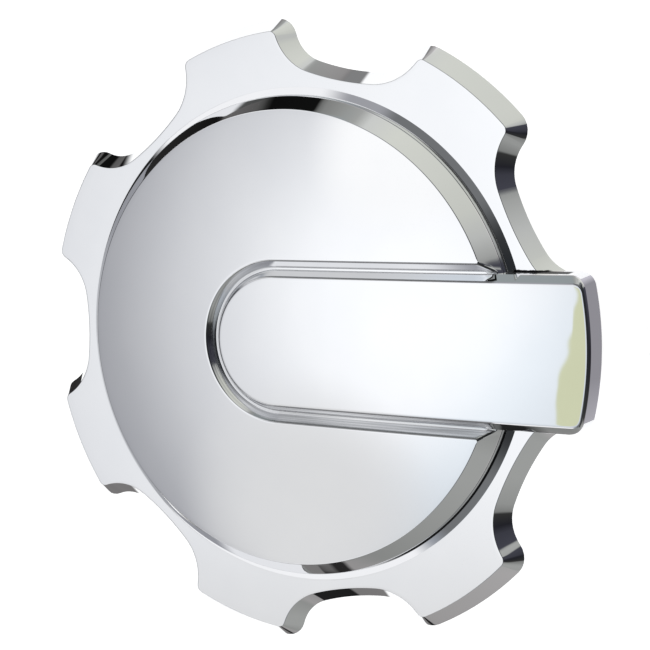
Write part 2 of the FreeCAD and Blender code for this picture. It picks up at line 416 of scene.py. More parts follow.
# %% Helper: make a piece
MM = 0.001
SHARP = math.radians(38)  # creases sharper than this keep a hard edge in the shading


def make_piece(name, bm, materials):
    """Turns an edit mesh in millimetres into a finished object with its finishes."""
    bmesh.ops.scale(bm, vec=(MM, MM, MM), verts=bm.verts)
    mesh = bpy.data.meshes.new(name)
    for f in bm.faces:
        f.smooth = True
    bm.to_mesh(mesh)
    bm.free()
    mesh.set_sharp_from_angle(angle=SHARP)
    piece = bpy.data.objects.new(name, mesh)
    bpy.context.scene.collection.objects.link(piece)
    for material in materials:
        mesh.materials.append(material)
    weighted = piece.modifiers.new("even_shading", "WEIGHTED_NORMAL")
    weighted.keep_sharp = True
    weighted.weight = 60
    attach(piece, "root")
    print(name, "faces", len(mesh.polygons))
    return piece


bright = bpy.data.materials.new("bright_chrome")
dull = bpy.data.materials.new("dull_plating")
cap_shell = make_piece("cap_shell", shell, [bright, dull])
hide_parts("center_cap")

# %% [markdown]
# ## The arm
# The arm is a straight tongue with a round inner end, round outer corners and an end that follows the rim. Its
# face lies on the same dome as the drum's. Along its sides a slope goes down to the groove's floor. Outside the
# drum the slope is gentler, so that it mirrors the room and not the flange, and a nearly upright wall goes on to
# the seat.

# %% Plan of the arm
ARM_HALF, ARM_DRAFT, ARM_END, ARM_END_DRAFT, ARM_CORNER = 24.1, 0.0699, 102.9, 0.0349, 5.0
END_STEPS, SIDE_STEPS, CORNER_STEPS, TIP_STEPS = 64, 40, 10, 24
HALF_COUNT = END_STEPS // 2 + SIDE_STEPS + CORNER_STEPS + TIP_STEPS // 2
ARM_STATIONS = 2 * HALF_COUNT


def arm_plan(n, half, end_r, corner_r):
    """Point n from the round inner end's tip to the middle of the outer end, along one side."""
    if n <= END_STEPS // 2:
        return on_arc(Vector((0, 0)), half, math.pi, math.pi / 2, n / (END_STEPS // 2))
    n -= END_STEPS // 2
    centre = Vector((math.sqrt((end_r - corner_r) ** 2 - (half - corner_r) ** 2), half - corner_r))
    if n <= SIDE_STEPS:
        return Vector((centre.x * n / SIDE_STEPS, half))
    n -= SIDE_STEPS
    if n <= CORNER_STEPS:
        return on_arc(centre, corner_r, math.pi / 2, heading(centre), n / CORNER_STEPS)
    n -= CORNER_STEPS
    return on_arc(Vector((0, 0)), end_r, heading(centre), 0.0, n / (TIP_STEPS // 2))


def arm_flat(i, half, end_r, corner_r):
    """The same for any station: the second half is the first one's reflection."""
    flat = arm_plan(min(i, ARM_STATIONS - i), half, end_r, corner_r)
    if i > HALF_COUNT:
        flat.y = -flat.y
    return flat


def across(flat):
    """Distance from the arm's middle line, or from the middle of its round end."""
    return abs(flat.y) if flat.x > 0 else flat.length


print("arm stations", ARM_STATIONS)

# %% Outer surfaces of the arm
SLOPE_FALL = GROOVE_DEPTH / (FLOOR_IN - ARM_EDGE)
FACE_CORNER, EDGE_DROP, EDGE_RUN, FACE_INSET = 3.0, 0.6, 0.65, 0.9
EASE_FROM, EASE_RUN, EASE_SHARE = 70.0, 3.5, 0.3
BED_END, BED_RUN, BED_DEPTH = 72.0, 4.0, 3.3
SEAT_GAP = 0.06  # keeps the arm's lower edge off the rim's face, so that no two faces lie in one plane


def part_way(x, start, run):
    """0 up to start, 1 from the end of the run, and even in between."""
    return min(1.0, max(0.0, (x - start) / run))


def arm_top(i):
    """Top of the arm's side and end walls, where the slope or the face begins."""
    z = 10.0
    for _ in range(6):
        flat = arm_flat(i, ARM_HALF - ARM_DRAFT * z, ARM_END - ARM_END_DRAFT * z, ARM_CORNER)
        fall = SLOPE_FALL * (1 - EASE_SHARE * part_way(flat.x, EASE_FROM, EASE_RUN))
        z = dome(flat.x, flat.y) - max(EDGE_DROP, (across(flat) - ARM_EDGE) * fall)
    return Vector((flat.x, flat.y, z))


def arm_bottom(x):
    """Outside the drum the arm reaches the seat. Inside, it is bedded just below the groove's floor."""
    return SEAT_GAP + (1 - part_way(x, BED_END, BED_RUN)) * dome(min(x, BED_END), 0, BED_DEPTH)


def arm_foot(i, wall):
    """Lower edge of the arm's walls, on their outside or, given their thickness, on their inside."""
    z = 0.0
    corner_r = max(1.6, ARM_CORNER - wall)
    for _ in range(6):
        flat = arm_flat(i, ARM_HALF - wall - ARM_DRAFT * z, ARM_END - wall - ARM_END_DRAFT * z, corner_r)
        z = arm_bottom(flat.x)
    return Vector((flat.x, flat.y, z))


def arm_face(i, inset=0.0):
    """Edge of the arm's face, or a line that runs evenly inside it."""
    end_r = ARM_END - ARM_END_DRAFT * dome(ARM_END, 0) - EDGE_RUN
    flat = arm_flat(i, ARM_EDGE - inset, end_r - inset, FACE_CORNER - inset)
    return Vector((flat.x, flat.y, dome(flat.x, flat.y)))


arm = bmesh.new()
place_no = arm.verts.layers.int.new("station")
bmesh.ops.create_circle(arm, segments=ARM_STATIONS, radius=10, cap_ends=False)
arm.verts.ensure_lookup_table()
for i, v in enumerate(arm.verts):
    v[place_no] = i
    v.co = arm_foot(i, 0.0)
foot_ring = list(arm.edges)
ring, _ = grow(arm, foot_ring, lambda v: arm_top(v[place_no]))
for inset in (0.0, FACE_INSET):
    ring, _ = grow(arm, ring, lambda v: arm_face(v[place_no], inset))


def toward_middle(v, share):
    """A point of the face, part of the way from its edge to the arm's middle line."""
    edge = arm_face(v[place_no], FACE_INSET)
    return Vector((edge.x, edge.y * share, dome(edge.x, edge.y * share)))


FACE_RINGS = (0.94, 0.86, 0.75, 0.6, 0.45, 0.3, 0.15, 0.0)
for share in FACE_RINGS:
    ring, _ = grow(arm, ring, lambda v: toward_middle(v, share))
print("arm outer faces", len(arm.faces))

# %% Hollow under the arm
ARM_WALL, THINNER, CEILING_SHARES = 3.4, 0.7, (0.97, 0.5, 0.0)


def arm_ceiling(v, share):
    """Underside of the arm's skin, which is thinner outside the drum."""
    inner = arm_foot(v[place_no], ARM_WALL)
    lower = BED_DEPTH - THINNER * part_way(inner.x, BED_END, BED_RUN)
    return Vector((inner.x, inner.y * share, dome(inner.x, inner.y * share, lower)))


ring, _ = grow(arm, foot_ring, lambda v: arm_foot(v[place_no], ARM_WALL), BACK)
for share in CEILING_SHARES:
    ring, _ = grow(arm, ring, lambda v: arm_ceiling(v, share), BACK)
bmesh.ops.remove_doubles(arm, verts=arm.verts, dist=0.02)
bmesh.ops.recalc_face_normals(arm, faces=arm.faces)
print("arm faces", len(arm.faces), "open edges", sum(not e.is_manifold for e in arm.edges),
      "shortest edge", round(min(e.calc_length() for e in arm.edges), 3))


def arm_edge(p):
    return p.z > dome(p.x, p.y, 0.05) or (p.x > 80.0 and p.z > 5.0)


round_edges(arm, creases(arm, 15, arm_edge), 0.4)
print("rounded arm faces", len(arm.faces), "open edges", sum(not e.is_manifold for e in arm.edges))
make_piece("cap_arm", arm, [bright, dull])

# %% [markdown]
# ## Opening the hollow of the arm
# Behind, the arm's hollow and the drum's are one space. The shell still has a piece of flange, rim and wall
# there, all hidden under the arm, so a block cuts them away. A second block takes off the end of the tooth under
# the arm. A Boolean is the plain tool for this, and it is safe here because no cut edge shows on the front.

# %% Cut the shell under the arm
def cut_away(piece, cutter_bm):
    """Cuts a closed edit mesh, in millimetres, out of a piece, and bakes the result into the piece's mesh."""
    bmesh.ops.scale(cutter_bm, vec=(MM, MM, MM), verts=cutter_bm.verts)
    cutter_mesh = bpy.data.meshes.new("cutter")
    cutter_bm.to_mesh(cutter_mesh)
    cutter_bm.free()
    cutter = bpy.data.objects.new("cutter", cutter_mesh)
    bpy.context.scene.collection.objects.link(cutter)
    kept = piece.modifiers["even_shading"]
    kept.show_viewport = False
    cut = piece.modifiers.new("cut", "BOOLEAN")
    cut.operation, cut.solver, cut.object = "DIFFERENCE", "EXACT", cutter
    solid = bpy.data.meshes.new_from_object(piece.evaluated_get(bpy.context.evaluated_depsgraph_get()))
    piece.modifiers.remove(cut)
    old, piece.data = piece.data, solid
    solid.name = piece.name
    solid.set_sharp_from_angle(angle=SHARP)
    kept.show_viewport = True
    bpy.data.objects.remove(cutter)
    bpy.data.meshes.remove(old)
    print(piece.name, "after the cut, faces", len(solid.polygons))


UNDER_ARM = ((73.5, -21.0, -2.0), (99.2, 21.0, 10.75))
TOOTH_END = ((94.5, -23.5, -2.0), (110.0, 23.5, 8.0))
for low, high in (UNDER_ARM, TOOTH_END):
    block = bmesh.new()
    bmesh.ops.create_cube(block, size=1.0)
    bmesh.ops.scale(block, vec=[b - a for a, b in zip(low, high)], verts=block.verts)
    bmesh.ops.translate(block, vec=[(a + b) / 2 for a, b in zip(low, high)], verts=block.verts)
    for f in block.faces:
        f.material_index = BACK
    cut_away(cap_shell, block)

# %% [markdown]
# ## The snap collar
# A cap with no screws is held by a split collar that springs into the wheel's bore. It is a turned profile, so a
# full spin makes it, with a ramp and a land at the tips of its fingers. Four long blocks then cut the eight slots.

# %% Collar
collar = bmesh.new()
PROFILE = [(52.0, -20.0), (53.25, -20.0), (56.0, -17.0), (56.0, -14.0), (54.5, -12.5), (54.5, 12.0), (52.0, 12.0)]
corners = [collar.verts.new((r, 0, z)) for r, z in PROFILE]
loop = [collar.edges.new((a, b)) for a, b in zip(corners, corners[1:] + corners[:1])]
bmesh.ops.spin(collar, geom=corners + loop, cent=(0, 0, 0), axis=(0, 0, 1), angle=2 * math.pi, steps=160,
               use_merge=True)
bmesh.ops.remove_doubles(collar, verts=collar.verts, dist=0.001)
bmesh.ops.recalc_face_normals(collar, faces=collar.faces)
round_edges(collar, creases(collar, 25, lambda p: p.z < 0), 0.3, 2)
snap_collar = make_piece("snap_collar", collar, [dull])

SLOT_LENGTH, SLOT_WIDTH, SLOT_HEIGHT, SLOT_Z = 130.0, 8.0, 25.0, -9.5
slots = bmesh.new()
for k in range(4):
    block = bmesh.ops.create_cube(slots, size=1.0)["verts"]
    turned = Matrix.Rotation(math.radians(45 * k + 22.5), 3, "Z")
    bmesh.ops.scale(slots, vec=(SLOT_LENGTH, SLOT_WIDTH, SLOT_HEIGHT), verts=block)
    bmesh.ops.translate(slots, vec=(0, 0, SLOT_Z), verts=block)
    bmesh.ops.rotate(slots, cent=(0, 0, 0), matrix=turned, verts=block)
cut_away(snap_collar, slots)

# %% [markdown]
# ## Ribs and the ridge behind the groove
# Eight ribs tie the collar to the drum's wall. Where the groove dips into the face, the skin behind it dips as
# well, so a ridge follows the groove on the back. The ridge's section is spun half a turn round the arm's inner
# end, and its two ends are then grown along the straight runs.

# %% Ribs
ribs = bmesh.new()
RIB = [(53.25, 4.44), (77.3, 4.44), (77.2, 7.7), (74.6, 10.4), (62.0, 11.3), (53.25, 11.9)]
RIB_WIDTH = 2.2
for k in range(8):
    side = [ribs.verts.new((r, -RIB_WIDTH / 2, z)) for r, z in RIB]
    sheet = bmesh.ops.contextual_create(ribs, geom=side)["faces"]
    pushed = bmesh.ops.extrude_face_region(ribs, geom=sheet, use_keep_orig=True)["geom"]
    far = [g for g in pushed if isinstance(g, bmesh.types.BMVert)]
    turned = Matrix.Rotation(math.radians(45 * k), 3, "Z")
    bmesh.ops.translate(ribs, vec=(0, RIB_WIDTH, 0), verts=far)
    bmesh.ops.rotate(ribs, cent=(0, 0, 0), matrix=turned, verts=side + far)
bmesh.ops.recalc_face_normals(ribs, faces=ribs.faces)
print("rib faces", len(ribs.faces), "open edges", sum(not e.is_manifold for e in ribs.edges))
round_edges(ribs, creases(ribs, 40, lambda p: p.z < 5), 0.3, 2)
make_piece("back_ribs", ribs, [dull])

# %% Ridge behind the groove
ridge = bmesh.new()
RIDGE = [(19.75, 3.2), (22.55, 5.4), (24.65, 5.4), (27.6, 3.2)]
corners = [ridge.verts.new((0, y, dome(0, y, depth))) for y, depth in RIDGE]
loop = [ridge.edges.new((a, b)) for a, b in zip(corners, corners[1:] + corners[:1])]
spun = bmesh.ops.spin(ridge, geom=corners + loop, cent=(0, 0, 0), axis=(0, 0, 1), angle=math.pi, steps=48)
ends = [loop, [g for g in spun["geom_last"] if isinstance(g, bmesh.types.BMEdge)]]


def along_run(v, x):
    """Carries a vertex along the straight run at its own depth below the dome."""
    return Vector((x, v.co.y, v.co.z - dome(v.co.x, v.co.y) + dome(x, v.co.y)))


RUN_STEPS = (18.0, 36.0, 54.0, 71.0)
for x in RUN_STEPS:
    ends = [grow(ridge, end, lambda v: along_run(v, x))[0] for end in ends]
for end in ends:
    bmesh.ops.contextual_create(ridge, geom=end)
bmesh.ops.recalc_face_normals(ridge, faces=ridge.faces)
print("ridge faces", len(ridge.faces), "open edges", sum(not e.is_manifold for e in ridge.edges))
make_piece("groove_ridge", ridge, [dull])

# %% [markdown]
# ## Chrome
# Chrome has almost no colour of its own, only a faint cold tint. What tells real plating from a perfect mirror is
# how slightly it fails: the plastic under it is not quite flat, polishing leaves faint haze, and dust settles. One
# node group gives that haze, tint and waviness, and both finishes use it with values of their own.

# %% Node group: plating texture
def plating_group():
    group = bpy.data.node_groups.new("plating_texture", "ShaderNodeTree")
    sock = group.interface.new_socket
    for name, low in (("Wave Size", 20.0), ("Haze Size", 60.0), ("Haze Low", 0.02), ("Haze High", 0.06)):
        sock(name, in_out="INPUT", socket_type="NodeSocketFloat").default_value = low
    for name in ("Tint Low", "Tint High"):
        sock(name, in_out="INPUT", socket_type="NodeSocketColor")
    sock("Tint", in_out="OUTPUT", socket_type="NodeSocketColor")
    sock("Haze", in_out="OUTPUT", socket_type="NodeSocketFloat")
    sock("Wave", in_out="OUTPUT", socket_type="NodeSocketFloat")
    nodes, links = group.nodes, group.links
    given, out = nodes.new("NodeGroupInput"), nodes.new("NodeGroupOutput")
    where = nodes.new("ShaderNodeTexCoord")
    wave, cloud, speck = (nodes.new("ShaderNodeTexNoise") for _ in range(3))
    wave.inputs["Detail"].default_value = 1.0
    cloud.inputs["Detail"].default_value = 4.0
    speck.inputs["Scale"].default_value = 2400.0
    for noise in (wave, cloud, speck):
        links.new(where.outputs["Object"], noise.inputs["Vector"])
    links.new(given.outputs["Wave Size"], wave.inputs["Scale"])
    links.new(given.outputs["Haze Size"], cloud.inputs["Scale"])
    dust = nodes.new("ShaderNodeMapRange")
    dust.inputs["From Min"].default_value, dust.inputs["From Max"].default_value = 0.68, 0.8
    dust.inputs["To Max"].default_value = 0.5
    links.new(speck.outputs["Fac"], dust.inputs["Value"])
    both = nodes.new("ShaderNodeMath")
    both.operation = "ADD"
    links.new(cloud.outputs["Fac"], both.inputs[0])
    links.new(dust.outputs["Result"], both.inputs[1])
    haze = nodes.new("ShaderNodeMapRange")
    haze.inputs["From Min"].default_value, haze.inputs["From Max"].default_value = 0.35, 1.0
    links.new(both.outputs[0], haze.inputs["Value"])
    links.new(given.outputs["Haze Low"], haze.inputs["To Min"])
    links.new(given.outputs["Haze High"], haze.inputs["To Max"])
    tint = nodes.new("ShaderNodeMix")
    tint.data_type = "RGBA"
    links.new(cloud.outputs["Fac"], tint.inputs["Factor"])
    links.new(given.outputs["Tint Low"], tint.inputs[6])
    links.new(given.outputs["Tint High"], tint.inputs[7])
    links.new(tint.outputs[2], out.inputs["Tint"])
    links.new(haze.outputs["Result"], out.inputs["Haze"])
    links.new(wave.outputs["Fac"], out.inputs["Wave"])
    return group


plating = plating_group()
print("plating group outputs", [s.name for s in plating.interface.items_tree if s.in_out == "OUTPUT"])

# %% Finishes
def plate(material, values, bump_strength, bump_height):
    """Gives a material the plating's texture, and gives back the texture's node."""
    material.use_nodes = True
    nodes, links = material.node_tree.nodes, material.node_tree.links
    shader = nodes["Principled BSDF"]
    shader.inputs["Metallic"].default_value = 1.0
    texture = nodes.new("ShaderNodeGroup")
    texture.node_tree = plating
    for name, value in values.items():
        texture.inputs[name].default_value = value
    bump = nodes.new("ShaderNodeBump")
    bump.inputs["Strength"].default_value = bump_strength
    bump.inputs["Distance"].default_value = bump_height
    links.new(texture.outputs["Tint"], shader.inputs["Base Color"])
    links.new(texture.outputs["Haze"], shader.inputs["Roughness"])
    links.new(texture.outputs["Wave"], bump.inputs["Height"])
    links.new(bump.outputs["Normal"], shader.inputs["Normal"])
    return texture


CHROME = {"Wave Size": 28.0, "Haze Size": 45.0, "Haze Low": 0.015, "Haze High": 0.05,
          "Tint Low": (0.80, 0.81, 0.83, 1), "Tint High": (0.86, 0.865, 0.875, 1)}
DULL = {"Wave Size": 180.0, "Haze Size": 120.0, "Haze Low": 0.22, "Haze High": 0.42,
        "Tint Low": (0.52, 0.53, 0.55, 1), "Tint High": (0.64, 0.65, 0.66, 1)}
chrome = plate(bright, CHROME, 0.25, 0.00012)
plate(dull, DULL, 0.3, 0.0001)
print("finishes", bright.name, dull.name)

# %% [markdown]
# ## Painted shade in the corners
# The corner between the arm's sides and the flange, and the neck of the drum's foot, are darkened with painted
# shade. Both show as a dark line. Masks on the piece's own coordinates find these places, and a little noise keeps
# the lines from being ruled with a pen. A mask is a product of soft steps, so a few small helpers that add nodes
# make it short to write.

# %% Helpers: nodes for masks
nodes, links = bright.node_tree.nodes, bright.node_tree.links


def math_node(operation, a, b=None):
    node = nodes.new("ShaderNodeMath")
    node.operation = operation
    for socket, value in zip(node.inputs, (a, b)):
        if isinstance(value, (int, float)):
            socket.default_value = value
        elif value is not None:
            links.new(value, socket)
    return node.outputs[0]


def product(first, *others):
    for other in others:
        first = math_node("MULTIPLY", first, other)
    return first


def between(value, low, high):
    """0 below low, 1 above high, and a soft step from one to the other."""
    node = nodes.new("ShaderNodeMapRange")
    node.interpolation_type = "SMOOTHSTEP"
    node.inputs["From Min"].default_value, node.inputs["From Max"].default_value = low, high
    links.new(value, node.inputs["Value"])
    return node.outputs["Result"]


def below(value, low, high):
    """The same the other way up: 1 below low and 0 above high."""
    return math_node("SUBTRACT", 1.0, between(value, low, high))


def window(value, low, high, soft):
    """1 between two limits, with soft ends."""
    return product(between(value, low - soft, low + soft), below(value, high - soft, high + soft))


print("bright chrome nodes before the dirt", len(nodes))

# %% Helpers: places and noise
def split(vector):
    node = nodes.new("ShaderNodeSeparateXYZ")
    links.new(vector, node.inputs[0])
    return node.outputs["X"], node.outputs["Y"], node.outputs["Z"]


def joined(x, y):
    node = nodes.new("ShaderNodeCombineXYZ")
    links.new(x, node.inputs["X"])
    links.new(y, node.inputs["Y"])
    return node.outputs[0]


def length_of(vector):
    node = nodes.new("ShaderNodeVectorMath")
    node.operation = "LENGTH"
    links.new(vector, node.inputs[0])
    return node.outputs["Value"]


def noise(vector, scale):
    node = nodes.new("ShaderNodeTexNoise")
    node.inputs["Scale"].default_value = scale
    links.new(vector, node.inputs["Vector"])
    return node.outputs["Fac"]


coordinates = nodes.new("ShaderNodeTexCoord").outputs["Object"]
on_x, on_y, on_z = split(coordinates)
from_axis = length_of(joined(on_x, on_y))
print("bright chrome nodes with places", len(nodes))

# %% Painted shade lines at the arm's foot and in the neck
ARM_LINE_ACROSS, ARM_LINE_ALONG, ARM_LINE_HEIGHT = (0.0232, 0.0246), (0.0770, 0.0950), (0.0025, 0.0080)
NECK, NECK_HEIGHT = (0.0788, 0.0797), (0.0070, 0.0076)
ABOVE_ARM, BELOW_ARM, ABOVE_SHARE = (0.020, 0.062), (-0.074, -0.020), 0.7
uneven = product(noise(coordinates, 700.0), 0.6 * MM)
from_middle = math_node("ADD", math_node("ABSOLUTE", on_y), uneven)
# Painted shade: a dark line where the arm's sides meet the flange.
arm_foot_shade = product(window(from_middle, *ARM_LINE_ACROSS, 0.1 * MM), window(on_x, *ARM_LINE_ALONG, 0.6 * MM),
                   window(on_z, *ARM_LINE_HEIGHT, 0.5 * MM))
# Painted shade: a dark line in the neck of the drum's foot, beside the arm.
in_neck = product(window(from_axis, *NECK, 0.1 * MM), below(math_node("ADD", on_z, uneven), *NECK_HEIGHT))
beside_arm = math_node("MAXIMUM", window(on_y, *BELOW_ARM, 6 * MM),
                       product(window(on_y, *ABOVE_ARM, 6 * MM), ABOVE_SHARE))
neck_shade = product(in_neck, beside_arm, between(on_x, 0.020, 0.045))
print("dirt beside the arm from", ARM_LINE_ALONG[0], "to", ARM_LINE_ALONG[1])

# %% [markdown]
# ## Painted shade in the groove
# The edges of the groove's slopes and floor get dark hairlines of painted shade, with a heavier one across its mouth.
# Its lower run and its round end carry a thin grey band of painted shade, streaked along the groove by noise. One
# distance places all of them: from the arm's middle line on the runs, and from the axis round the arm's end.

# %% Painted shade lines and band in the groove
GROOVE_LINES = [(ARM_EDGE, 0.28, 0.65), (FLOOR_IN, 0.14, 0.42), (FLOOR_OUT, 0.14, 0.35), (GROOVE_EDGE, 0.28, 0.65)]
PAINTED_BAND, PAINTED_BAND_SHARE, MOUTH_SHARE = (0.0212, 0.0262), 0.42, 0.9
STREAK_ALONG, STREAK_ACROSS = 25.0, 2600.0
off_arm = length_of(joined(math_node("MINIMUM", on_x, 0.0), on_y))
lower_run = between(product(on_y, -1.0), 0.012, 0.022)
round_end = between(product(on_x, -1.0), 0.0, 0.010)
streaks = between(noise(joined(product(on_x, STREAK_ALONG), product(off_arm, STREAK_ACROSS)), 1.0), 0.2, 0.8)
band_part = math_node("MAXIMUM", lower_run, round_end)
# Painted shade: a grey band on the groove's lower run and round end, streaked by noise.
groove_shade = product(window(off_arm, *PAINTED_BAND, 0.2 * MM), band_part, streaks, PAINTED_BAND_SHARE)
straight = between(on_x, -0.012, 0.004)
# Painted shade: dark hairlines along the groove's edges and floor.
for line, half, share in GROOVE_LINES:
    near_line = window(off_arm, (line - half) * MM, (line + half) * MM, 0.08 * MM)
    groove_shade = math_node("MAXIMUM", groove_shade, product(near_line, straight, share))

mouth_lean = (MOUTH_R - wall_radius(0)) / (GROOVE_EDGE - FLOOR_OUT)
into_groove = math_node("SUBTRACT", GROOVE_EDGE * MM, off_arm)
mouth_r = math_node("ADD", wall_radius(0) * MM, product(into_groove, mouth_lean))
past_mouth = math_node("SUBTRACT", from_axis, mouth_r)
# Painted shade: a heavier dark line across the groove's mouth.
mouth = product(window(past_mouth, -0.5 * MM, 0.4 * MM, 0.1 * MM),
                window(off_arm, FLOOR_OUT * MM, GROOVE_EDGE * MM, 0.1 * MM), MOUTH_SHARE)
on_drum = product(below(past_mouth, 0.3 * MM, 0.5 * MM), between(on_z, 0.008, 0.009), below(on_x, 0.073, 0.075))
groove_shade = product(math_node("MAXIMUM", groove_shade, mouth), on_drum)
print("groove lines", len(GROOVE_LINES), "mouth leans", round(mouth_lean, 3))

# %% [markdown]
# ## Painted shade over chrome
# The painted shade is dark and dull, so it changes both the colour and the roughness. Where a mask is only part of
# the way up, some of the mirror shows through.

# %% Painted shade on the bright chrome
SHADE_COLOUR, SHADE_ROUGHNESS = (0.015, 0.015, 0.017), 0.5


def mixed(share, a, b):
    """A colour between two others, each a socket or plain values."""
    node = nodes.new("ShaderNodeMix")
    node.data_type = "RGBA"
    for socket, value in ((node.inputs["Factor"], share), (node.inputs[6], a), (node.inputs[7], b)):
        if isinstance(value, tuple):
            socket.default_value = (*value, 1)
        else:
            links.new(value, socket)
    return node.outputs[2]


painted_shade = math_node("MAXIMUM", math_node("MAXIMUM", arm_foot_shade, neck_shade), groove_shade)
shader = nodes["Principled BSDF"]
# Painted shade darkens the chrome's colour here and makes it rougher.
links.new(mixed(painted_shade, chrome.outputs["Tint"], SHADE_COLOUR), shader.inputs["Base Color"])
rougher = product(math_node("SUBTRACT", SHADE_ROUGHNESS, chrome.outputs["Haze"]), painted_shade)
links.new(math_node("ADD", chrome.outputs["Haze"], rougher), shader.inputs["Roughness"])
print("bright chrome nodes", len(nodes))

# %% [markdown]
# ## Camera
# The camera stands where the photographer's stood: fitted to the edges of the drum, the teeth and the arm, it is
# some 39 cm away, about 29 degrees off the wheel's axis towards the arm and a little above.

# %% Camera
camera_data = bpy.data.cameras.new("camera")
camera_data.sensor_width, camera_data.lens = 36.0, 65.73
camera = bpy.data.objects.new("camera", camera_data)
bpy.context.scene.collection.objects.link(camera)
camera.matrix_world = Matrix(((0.87913, -0.04395, 0.47458, 0.19662),
                              (-0.01127, 0.99357, 0.11286, 0.04854),
                              (-0.47648, -0.10456, 0.87296, 0.34288),
                              (0.0, 0.0, 0.0, 1.0)))
bpy.context.scene.camera = camera
print("camera at", [round(c, 3) for c in camera.location])

# %% [markdown]
# ## Plinth and floor
# The cap rests on its collar on a narrow round plinth, above a plain white floor. Raising it matters: walls that
# lean outwards mirror what lies a little below the horizon, and on a bare table that would be the table's white
# top all round. The floor is white to the eye and to mirrors alike, and still takes a shadow.

# %% Floor white
FLOOR_GLOW = 0.8
white = bpy.data.materials.new("floor_white")
white.use_nodes = True
nodes, links = white.node_tree.nodes, white.node_tree.links
surface = nodes["Principled BSDF"]
surface.inputs["Base Color"].default_value = (0.8, 0.8, 0.8, 1)
surface.inputs["Roughness"].default_value = 0.9
surface.inputs["Emission Color"].default_value = (1, 1, 1, 1)
ray = nodes.new("ShaderNodeLightPath").outputs
seen = math_node("MAXIMUM", ray["Is Camera Ray"], ray["Is Glossy Ray"])
seen = math_node("MAXIMUM", seen, ray["Is Transmission Ray"])
links.new(product(seen, FLOOR_GLOW), surface.inputs["Emission Strength"])
print("floor white glows to the eye by", FLOOR_GLOW)

# %% Plinth and floor
FLOOR_DROP, FLOOR_R, FLOOR_AT = 0.3, 0.39, (-0.2, -0.04)
PLINTH_R, PLINTH_GAP = 0.06, 0.0002
rest_z = cad_box[0][2]


def stage_piece(name, bm, material):
    """Turns an edit mesh in metres into a piece of the set, which is no part of the cap."""
    mesh = bpy.data.meshes.new(name)
    bm.to_mesh(mesh)
    bm.free()
    mesh.materials.append(material)
    piece = bpy.data.objects.new(name, mesh)
    bpy.context.scene.collection.objects.link(piece)


ground = bmesh.new()
bmesh.ops.create_circle(ground, cap_ends=True, segments=128, radius=FLOOR_R)
bmesh.ops.translate(ground, vec=(*FLOOR_AT, rest_z - FLOOR_DROP), verts=ground.verts)
stage_piece("floor", ground, white)
post = bmesh.new()
bmesh.ops.create_cone(post, cap_ends=True, segments=96, radius1=PLINTH_R, radius2=PLINTH_R, depth=FLOOR_DROP)
bmesh.ops.translate(post, vec=(0, 0, rest_z - FLOOR_DROP / 2 - PLINTH_GAP), verts=post.verts)
stage_piece("plinth", post, white)
print("plinth top", round(rest_z, 4), "floor", round(rest_z - FLOOR_DROP, 4))

# %% [markdown]
# ## The room: soft light overhead
# A mirror is as good as the room it stands in, so the light is half of the finish. All of the room is painted on
# the world by direction. One broad soft light hangs to the left of straight above, with three small patches beside
# it, and the room falls off to grey around it: that is the grey that turns to white across the drum's face.

# %% World: soft light overhead
world = bpy.data.worlds.new("studio")
bpy.context.scene.world = world
world.use_nodes = True
nodes, links = world.node_tree.nodes, world.node_tree.links
background = nodes["Background"]
background.inputs["Strength"].default_value = 1.25
way = nodes.new("ShaderNodeTexCoord").outputs["Generated"]
way_x, way_y, way_z = split(way)


def ramp(value, stops):
    node = nodes.new("ShaderNodeValToRGB")
    marks = node.color_ramp.elements
    for position, _ in stops[2:]:
        marks.new(position)
    for mark, (position, colour) in zip(marks, stops):
        mark.position = position
        mark.color = (*colour, 1)
    links.new(value, node.inputs["Fac"])
    return node.outputs["Color"]


def tinted_by(share, colour, tint):
    """Multiplies a colour by a tint where share is 1."""
    node = nodes.new("ShaderNodeMix")
    node.data_type, node.blend_type = "RGBA", "MULTIPLY"
    node.inputs[7].default_value = (*tint, 1)
    links.new(share, node.inputs["Factor"])
    links.new(colour, node.inputs[6])
    return node.outputs[2]


def facing(aim):
    """Cosine of the angle between a direction of the room and the one given."""
    node = nodes.new("ShaderNodeVectorMath")
    node.operation = "DOT_PRODUCT"
    node.inputs[1].default_value = Vector(aim).normalized()
    links.new(way, node.inputs[0])
    return node.outputs["Value"]


LIGHT_AIM = (-0.30, -0.07, 0.951)
GLOW = [(5, .95), (8, .92), (11, .87), (14, .79), (17, .71), (20, .64), (23, .57), (26, .48), (29, .39), (33, .31)]
COOL = (0.91, 0.955, 0.985)
PATCHES = [((-0.33, 0.16, 0.93), 9, 3, (0.92, 0.92, 0.92)), ((-0.45, -0.37, 0.81), 13, 1, (0.67, 0.67, 0.67)),
           ((-0.45, 0.50, 0.74), 15, 8, (0.95, 0.95, 0.96))]
from_light = math_node("DIVIDE", math_node("ARCCOSINE", facing(LIGHT_AIM)), math.pi)
overhead = ramp(from_light, [(a / 180, (g, g * 1.01, g + 0.025)) for a, g in GLOW])
to_corner = math_node("SUBTRACT", way_x, product(way_y, 0.8))
overhead = tinted_by(between(to_corner, -0.16, 0.02), overhead, COOL)
for aim, wide, narrow, colour in PATCHES:
    patch = between(facing(aim), math.cos(math.radians(wide)), math.cos(math.radians(narrow)))
    overhead = mixed(patch, overhead, colour)
print("soft light marks", len(GLOW), "patches", len(PATCHES))

# %% [markdown]
# ## The room: right side of the ceiling
# To the right the ceiling is dark, which gives the arm's end and the walls their black lines. A warm strip with
# a ragged edge hangs in front of the dark. It shows only at the end of the arm.

